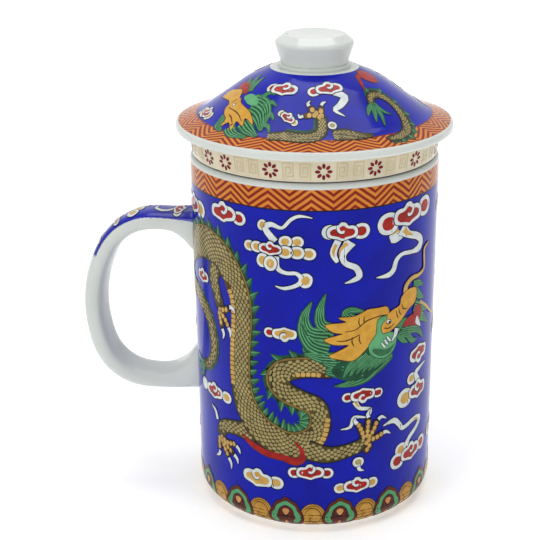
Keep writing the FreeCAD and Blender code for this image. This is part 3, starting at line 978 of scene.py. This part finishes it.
    # Mouth, tusk, jaw and beard
    jaw = [([(29, 64.4), (33, 62.6), (37, 61.2), (40.4, 57.6)], (1.2, 1.2, 1, 0.1)),
        ([(28.4, 62.8), (31.4, 61.4), (34, 58.6), (36.6, 58.4)], (1.2, 1, 0.8, 0.1)),
        ([(27.4, 62.6), (29.4, 60.2), (31.6, 58.8)], (1.1, 0.8, 0.1)),
        ([(36, 66), (39.6, 64.6), (43.6, 61.4)], (1.6, 1.4, 0.1)),
        ([(34.8, 69.6), (38.6, 68), (43, 66)], (1.8, 1.5, 0.1)),
        ([(34.8, 74.6), (37.2, 72.4), (40.4, 70.6)], (1.4, 1.2, 0.1)),
        ([(34, 76.6), (36.8, 76.4), (39.4, 75)], (1.2, 1, 0.1)),
        ([(26.8, 64.4), (28.6, 66), (30.8, 66.8)], (1.4, 1, 0.2))]
    strands(canvas, jaw, 15)
    mouth = blob([(29.4, 64.6), (31.6, 66.8), (34.4, 67.2), (35.4, 69.2), (37.6, 69), (38.6, 66.6),
        (36.6, 63), (33.6, 63.8)], 3)
    canvas.edged("maroon", "red", [mouth], LINE_EDGE, 18)
    tooth = blob([(36.2, 66), (37.6, 64), (38.6, 61.8), (37, 62.6), (35.4, 64)], 2)
    canvas.fill("white", [tooth], 20)
    talon(canvas, [(26.6, 64.8), (26, 62.8), (24.6, 61)], 24, width=0.8)

    # Brow horn and whiskers
    canvas.edged_line("umber", "scute", *HORN, LINE_EDGE, 17)
    canvas.line("scute", [(38, 70), (42, 67.4), (47, 63.6), (52, 61.8)], (0.5, 0.45, 0.4, 0.1), 18)


# Borders

RUYI_COUNT = 14
RUYI_FIRST = 8
RUYI = [(0, 12), (1.7, 11), (3.3, 10), (4.2, 8.3), (5.2, 6.7), (5.6, 4.7), (5, 2.9), (3.7, 1.7), (0, 1.4)]
RUYI_GREEN = [(0, 10.7), (1.6, 9.9), (3, 8.9), (3.6, 7.4), (4.5, 6.2), (4.7, 4.6), (4, 3.4), (2.6, 2.9),
    (2.4, 3.9), (3.1, 4.9), (2.6, 6.6), (1.9, 8.3), (0, 9.2)]
RUYI_RIM = [(0, 9.2), (1.6, 8.4), (2.4, 6.8), (1.4, 5.4), (0, 5)]
RUYI_EYE = [(0, 9.1), (1.6, 8.3), (2.3, 6.8), (1.3, 5.3), (0, 4.6)]
RUYI_HEART = [(-1.1, 7.3), (-0.6, 8.1), (0.6, 8.1), (1.1, 7.3), (0, 5.9)]
RUYI_DROP = [(0, 3.9), (0.7, 2.4), (0, 1.6)]
RUYI_FORMS = (("black", RUYI, 0.18, 4), ("maroon", RUYI, 0, 5), ("jade", RUYI_GREEN, 0, 6),
    ("black", RUYI_RIM, 0.12, 7), ("maroon", RUYI_EYE, 0, 8))
WAVE_HEIGHT = 5.6
WAVE_SIZE = (3.9, 4.5)
WAVE_RINGS = (2.7, 3.45)


def mirrored(half):
    """Closed outline from its right half."""
    return half + [(-x, y) for x, y in reversed(half[1:-1])]


def lower_border(canvas):
    """Ruyi heads and spiral waves in turn round the foot of the wall."""
    pitch = math.tau * RIM_RADIUS / RUYI_COUNT
    x, y = pitch / 2, WAVE_HEIGHT
    hill = ellipse((x, y), *WAVE_SIZE, 0, 20)
    turns = [k * 0.5 for k in range(12)]
    spiral = [(x + (0.5 + 0.62 * t) * math.cos(1.1 * t + 2.6),
        y - 0.4 + (0.5 + 0.66 * t) * math.sin(1.1 * t + 2.6)) for t in turns]
    bows = [0.35 + 0.27 * k for k in range(10)]
    for i in range(RUYI_COUNT):
        canvas.shift = RUYI_FIRST + pitch * i
        canvas.edged("umber", "ochre", [hill], LINE_EDGE, 1)
        canvas.line("bronze", spiral, (0.16, 0.22, 0.22, 0.12), 3, steps=3)
        for radius in WAVE_RINGS:
            arc = [(x + radius * math.cos(a), y + radius * 1.15 * math.sin(a)) for a in bows]
            canvas.line("bronze", arc, (0.1, 0.2, 0.2, 0.1), 3, steps=2)
        for paint, half, grow, layer in RUYI_FORMS:
            canvas.fill(paint, [spread(blob(mirrored(half), 3), grow)], layer)
        canvas.fill("peach", [blob(RUYI_HEART, 3)], 9)
        canvas.fill("peach", [blob(mirrored(RUYI_DROP), 2)], 6)


FLOWERS = 16
FLOWER_FIRST = -28.2
FLOWER_PITCH = 15.4
PETALS = 8
PETAL_REACH = 1.72
PETAL_SIZE = (0.78, 0.5)
KEY_LINE = 0.15
KEY = [(-1.7, -2), (-1.7, 2), (1.7, 2), (1.7, -1.3), (-0.8, -1.3), (-0.8, 1), (0.8, 1), (0.8, -0.4),
    (0.1, -0.4)]


def bars(points, half):
    """Straight strokes joined at square corners."""
    out = []
    for a, b in zip(points, points[1:]):
        low = Vector((min(a[0], b[0]) - half, min(a[1], b[1]) - half))
        high = Vector((max(a[0], b[0]) + half, max(a[1], b[1]) + half))
        out.append([low, Vector((high.x, low.y)), high, Vector((low.x, high.y))])
    return out


def collar_border(canvas):
    """Red flowers between faint key frets on the infuser's collar, with a seam where two flowers meet."""
    middle = (MUG_HEIGHT + LID_SEAT) / 2 - 0.2
    for i in range(FLOWERS):
        canvas.shift = FLOWER_FIRST + FLOWER_PITCH * i
        for side, mirror in ((0.34, 1), (0.66, -1)) if i < FLOWERS - 1 else ():
            key = [(FLOWER_PITCH * side + x * mirror * 0.86, middle + y * 1.2) for x, y in KEY]
            canvas.fill("fret", bars(key, KEY_LINE), 0)
        for k in range(PETALS):
            turn = math.tau * k / PETALS
            spot = (PETAL_REACH * math.cos(turn), middle + PETAL_REACH * math.sin(turn))
            canvas.fill("crimson", [ellipse(spot, *PETAL_SIZE, turn, 10)], 1)


# Lid and handle

LID_FINE = 0.55


def lid_painting(canvas):
    """One dragon among clouds on the lid's slope."""
    body = [(-13, -32.6), (-8.6, -33.4), (-4.4, -34.6), (-0.6, -34.6), (2, -32.4), (2, -28.4)]
    spikes(canvas, body, (1, 1.4, 1.5, 1.5, 1.4, 1.2), 1, side=1, first=1, length=1.2, lean=0.6)
    scaled(canvas, body, (1.2, 1.6, 1.7, 1.6, 1.4, 1.2), 3, LID_FINE)
    scaled(canvas, [(5.6, -33.6), (9, -32.8), (12.6, -32.4), (16.4, -31)], (1.7, 1.8, 1.3, 0.4), 3, LID_FINE)
    for points in ([(1.4, -28.2), (-0.4, -27.6), (-2.8, -27.8)], [(2, -27.8), (1.8, -26.4), (1.8, -25)],
            [(1.6, -28), (-0.2, -26.4), (-1.4, -25.2)]):
        toe(canvas, points, 5, width=0.75)
    for points in ([(-3.2, -27.8), (-4.2, -28), (-4.6, -27)], [(1.9, -24.6), (2.4, -23.8), (3.2, -23.4)],
            [(-1.6, -24.8), (-1.9, -24), (-1.2, -23.2)]):
        talon(canvas, points, 8, width=0.45)
    lobe(canvas, (5, -30.4), "cream", 0.55, 3)
    tail = [(16.4, -20), (16.2, -17), (18.4, -14.6), (21.6, -14.4), (24.6, -16.6), (26.4, -20.6),
        (26.2, -25), (24, -28.8), (21, -31.4)]
    tail_width = (0.9, 1, 1.1, 1.2, 1.3, 1.3, 1.3, 1.2, 0.9)
    spikes(canvas, tail, tail_width, 1, side=1, first=1, length=2.6, lean=0.7)
    scaled(canvas, tail, tail_width, 3, LID_FINE)
    strands(canvas, [([(16.6, -19.6), (15.6, -22), (15.2, -24.4)], (0.6, 0.6, 0.1)),
        ([(16.6, -19.6), (17.2, -22.6), (17.6, -25.4)], (0.6, 0.6, 0.1)),
        ([(16.8, -19.4), (19, -22.2), (20, -25.6)], (0.6, 0.6, 0.1)),
        ([(17, -19.2), (19.6, -20.4), (21.8, -20.2)], (0.6, 0.5, 0.1))], 5)

    mane = [([(-17.6, -17), (-14.6, -20.6), (-13.6, -24.6), (-14.4, -28.6)], (1.6, 1.8, 1.2, 0.1)),
        ([(-18.6, -20), (-16, -24), (-15.2, -29.6)], (1.8, 2, 0.4)),
        ([(-20.4, -24.4), (-19, -27.6), (-16.6, -31.4)], (1.8, 1.8, 0.5)),
        ([(-24.4, -24), (-23.4, -27.6), (-19.6, -31)], (1.6, 1.6, 0.5)),
        ([(-26, -17), (-27.8, -20.4), (-27, -24.4)], (1, 1.2, 0.3)),
        ([(-18.8, -12.6), (-16.6, -9.6), (-14.6, -8.6)], (0.8, 0.7, 0.1)),
        ([(-19.6, -12), (-17.8, -8), (-15.8, -5.2)], (0.8, 0.7, 0.1)),
        ([(-20.6, -11.6), (-19.4, -7), (-19, -3.6)], (0.8, 0.7, 0.1)),
        ([(-15.6, -18), (-13, -17.4), (-11.4, -18.8)], (0.8, 0.6, 0.1)),
        ([(-14.8, -21.2), (-12.4, -21), (-10.9, -22.9)], (0.8, 0.6, 0.1)),
        ([(-14.6, -24.4), (-12.6, -25), (-11.6, -27.2)], (0.8, 0.6, 0.1)),
        ([(-15, -27.6), (-13.2, -28.8), (-12.8, -31)], (0.7, 0.5, 0.1))]
    strands(canvas, mane, 2)
    cheek = blob([(-20.4, -13.8), (-18.2, -14.4), (-16.2, -17.8), (-16.6, -20.2), (-18.6, -18.8),
        (-19.8, -16.6)])
    canvas.fill("mint", [cheek], 6)
    face = blob([(-21.6, -13.2), (-23.6, -12.6), (-25.8, -13.6), (-26.2, -16.6), (-25.6, -19.2),
        (-27, -21.6), (-24.6, -21.4), (-24, -25.6), (-22.4, -22.6), (-20.6, -25.6), (-19.8, -23),
        (-17.6, -26.6), (-18.4, -22), (-20.4, -18), (-21.4, -15.6)], 3)
    snout = blob([(-22.4, -13.6), (-21.2, -9.6), (-23, -6.6), (-25, -3.8), (-27.2, -4.6), (-26.2, -8),
        (-25, -11), (-24.8, -13.6)], 3)
    canvas.edged("umber", "gold", [face, snout], 0.2, 6)
    for points in ([(-25, -14.6), (-23.6, -17), (-22, -20), (-21, -23.4)], [(-22.6, -12.6), (-24.2, -13)],
            [(-24.8, -18), (-24, -20), (-23.6, -22.6)]):
        canvas.line("umber", points, (0.1, 0.2, 0.1), 8)
    mouth = blob([(-19.8, -13), (-19, -9.6), (-20.2, -5.2), (-22, -4.8), (-22.4, -8), (-21.2, -10.6)])
    canvas.fill("red", [mouth], 5)
    canvas.fill("black", [ellipse((-23.4, -14.8), 0.6, 0.6)], 8)
    canvas.fill("white", [ellipse((-23.4, -14.8), 0.42, 0.42)], 9)

    pearl = (15.6, -6.9)
    canvas.fill("maroon", [ellipse(pearl, 3.2, 3.2, 0, 24)], 4)
    canvas.fill("red", [ellipse(pearl, 2.95, 2.95, 0, 24)], 5)
    flame = [(14, -8.2), (12.7, -9.8), (13.5, -12.4), (14.5, -15.6)]
    canvas.edged_line("maroon", "red", flame, (0.9, 0.6, 0.5, 0.1), 0.2, 1)

    cloud(canvas, (-8.6, -17.8), "red", 0.86, turn=-0.45, lobes=((-5, 0.3, "red", 0.95),))
    ribbon(canvas, [(5, -19.8), (8.6, -20.6), (7.4, -23.6), (5.8, -25.6), (8.6, -26.9)],
        (1, 1.1, 0.9, 0.6, 0.08), 0)
    cloud(canvas, (4.2, -18.5), "red", 0.86, turn=0.3, lobes=((-6, -0.3, "red", 0.95),))
    cloud(canvas, (-7.6, -27.6), "red", 0.5, turn=-0.78,
        lobes=((-5.4, 0, "yellow", 0.95), (5.8, 0, "yellow", 0.95)))
    cloud(canvas, (-32.2, -8.4), "red", 0.72, turn=-1.3, lobes=((-5.6, 0, "red", 1), (5.8, 0, "yellow", 1)))


def handle_clouds(canvas):
    """A row of clouds along the top of the loop."""
    across = math.pi / 2
    cloud(canvas, (4.8, 0.8), "red", 0.72, turn=across,
        lobes=((-5.2, 0.2, "yellow", 0.9), (4.9, 0.2, "yellow", 0.9)))
    ribbon(canvas, [(6, 0), (7.8, 2), (10.2, 2.4), (12.4, 0.6), (11.8, -2)], (0.6, 0.6, 0.65, 0.5, 0.1), 1)
    for i, spot in enumerate(((17, -3.2), (18.2, -0.2), (19.4, 2.7))):
        lobe(canvas, spot, "yellow", 0.95, 1 + 3 * i, across)
    cloud(canvas, (26, 0.7), "red", 0.72, turn=across + 0.15,
        lobes=((-5.2, 0.2, "yellow", 0.9), (4.8, 0.2, "yellow", 0.9)))
    cloud(canvas, (35, 0.4), "yellow", 0.66, turn=across, lobes=((5.6, 0, "red", 0.9),))


half_round = math.pi * RIM_RADIUS
for half in (0, 1):
    wall.shift, cover.turn = half_round * half, math.pi * half
    front_clouds(wall)
    dragon(wall)
    lid_painting(cover)
lower_border(wall)
collar_border(collar)
handle_clouds(loop)
for canvas in (wall, collar, cover, loop):
    canvas.build()

GLAZES = {"mug_body": mug_glaze, "mug_handle": handle_glaze, "infuser_cup": infuser_glaze,
    "lid_shell": lid_glaze, "lid_knob": knob_glaze}
for node, glaze in GLAZES.items():
    material = glaze()
    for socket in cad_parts[node].material_slots:
        socket.material = material

# Studio

FLOOR_SIZE = 2.4
FLOOR_ROUGH = 0.9
FLOOR_GLOSS = 0.1
FLOOR_GLOW = (0.4, 0.95)
GLOW_REACH = (220, 800)
floor_mesh = bpy.data.meshes.new("floor")
corners = [(x * FLOOR_SIZE, y * FLOOR_SIZE, 0) for x, y in ((-1, -1), (1, -1), (1, 1), (-1, 1))]
floor_mesh.from_pydata(corners, [], [(0, 1, 2, 3)])
floor = bpy.data.objects.new("floor", floor_mesh)
bpy.context.scene.collection.objects.link(floor)
floor_nodes = Nodes("floor_paper")
paper = floor_nodes.shader.inputs
floor_nodes.feed(paper["Base Color"], floor_nodes.mix(floor_nodes.noise(60.0), PAPER, PAPER_SHADE))
paper["Roughness"].default_value = FLOOR_ROUGH
paper["Specular IOR Level"].default_value = FLOOR_GLOSS
paper["Emission Color"].default_value = WHITE
distance = floor_nodes.radius(*floor_nodes.axes()[:2])
floor_nodes.feed(paper["Emission Strength"], floor_nodes.ramp(distance, *GLOW_REACH, *FLOOR_GLOW))
floor_mesh.materials.append(floor_nodes.material)

LIT_PLACE = (0, 0, 0.07)


def soft_light(name, place, width, height, power):
    """Area lamp of so many watts that shines on the middle of the mug."""
    light = bpy.data.lights.new(name, "AREA")
    light.shape = "RECTANGLE"
    light.size, light.size_y = width, height
    light.energy = power
    lamp = bpy.data.objects.new(name, light)
    lamp.location = place
    lamp.rotation_euler = (Vector(LIT_PLACE) - Vector(place)).to_track_quat("-Z", "Y").to_euler()
    bpy.context.scene.collection.objects.link(lamp)


soft_light("key", (-0.55, -0.75, 0.75), 0.5, 0.5, 3.2)
soft_light("fill", (0.85, -0.55, 0.55), 0.35, 0.7, 1.3)
soft_light("top", (0.0, 0.1, 1.1), 0.9, 0.9, 8.0)

# World, brighter for the camera and for reflections than for the light it gives
WORLD_LIGHT = 0.19
world = bpy.data.worlds.new("studio")
bpy.context.scene.world = world
world.use_nodes = True
links = world.node_tree.links
background = world.node_tree.nodes["Background"]
background.inputs["Color"].default_value = WHITE
path_kind = world.node_tree.nodes.new("ShaderNodeLightPath")
share = path_kind.outputs["Is Camera Ray"]
for kind in ("Is Glossy Ray", "Is Transmission Ray"):
    total = world.node_tree.nodes.new("ShaderNodeMath")
    total.operation = "MAXIMUM"
    links.new(share, total.inputs[0])
    links.new(path_kind.outputs[kind], total.inputs[1])
    share = total.outputs[0]
strength = world.node_tree.nodes.new("ShaderNodeMapRange")
strength.inputs["To Min"].default_value = WORLD_LIGHT
strength.inputs["To Max"].default_value = 1.0
links.new(share, strength.inputs["Value"])
links.new(strength.outputs["Result"], background.inputs["Strength"])

# Camera
CAMERA_DISTANCE = 0.4052
CAMERA_HEIGHT = 0.2223
CAMERA_PITCH = 0.336
FOCAL_LENGTH = 91.27
SENSOR_WIDTH = 36
LENS_SHIFT = (-0.0825, -0.046)
lens = bpy.data.cameras.new("camera")
lens.sensor_width = SENSOR_WIDTH
lens.lens = FOCAL_LENGTH
lens.shift_x, lens.shift_y = LENS_SHIFT
camera = bpy.data.objects.new("camera", lens)
camera.location = (CAMERA_DISTANCE * math.cos(FRONT), CAMERA_DISTANCE * math.sin(FRONT), CAMERA_HEIGHT)
camera.rotation_euler = (math.pi / 2 - CAMERA_PITCH, 0, FRONT + math.pi / 2)
bpy.context.scene.collection.objects.link(camera)
bpy.context.scene.camera = camera
bpy.context.scene.view_settings.view_transform = "Standard"
